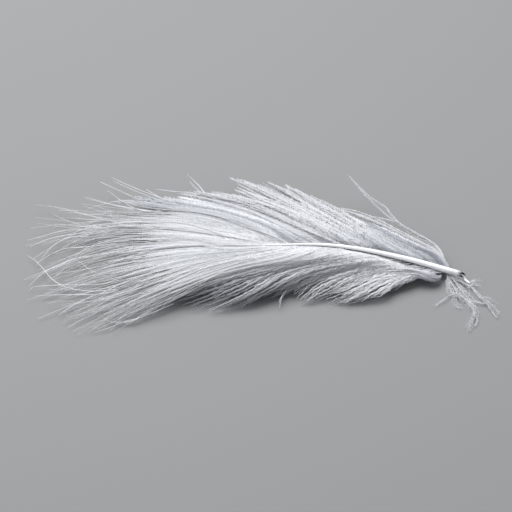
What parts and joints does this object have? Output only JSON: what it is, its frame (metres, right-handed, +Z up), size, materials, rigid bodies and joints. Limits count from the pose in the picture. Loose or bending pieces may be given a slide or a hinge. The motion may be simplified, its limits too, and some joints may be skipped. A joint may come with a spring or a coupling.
{
  "type": "marabou feather",
  "caption": "Soft white marabou feather lying flat: curved quill with a hollow cut end, loose down on both sides, a fanned plume at the tip and wisps at the base.",
  "frame": {"origin": "on the surface the feather lies on, under the middle of its bounding box", "axes": "+X along the feather from the tip towards the cut end of the quill, +Y towards the far side, +Z up"},
  "size_m": [0.1306, 0.0594, 0.008],
  "materials": {
    "quill_horn": "smooth white keratin",
    "dried_pith": "papery dried pith",
    "down": "soft matte down"
  },
  "bodies": {
    "root": {"quill": "quill_horn", "pith": "dried_pith", "far_vane": "down", "near_vane": "down", "tip_plume": "down", "stray_lock": "down", "afterfeather": "down"}
  },
  "joints": []
}
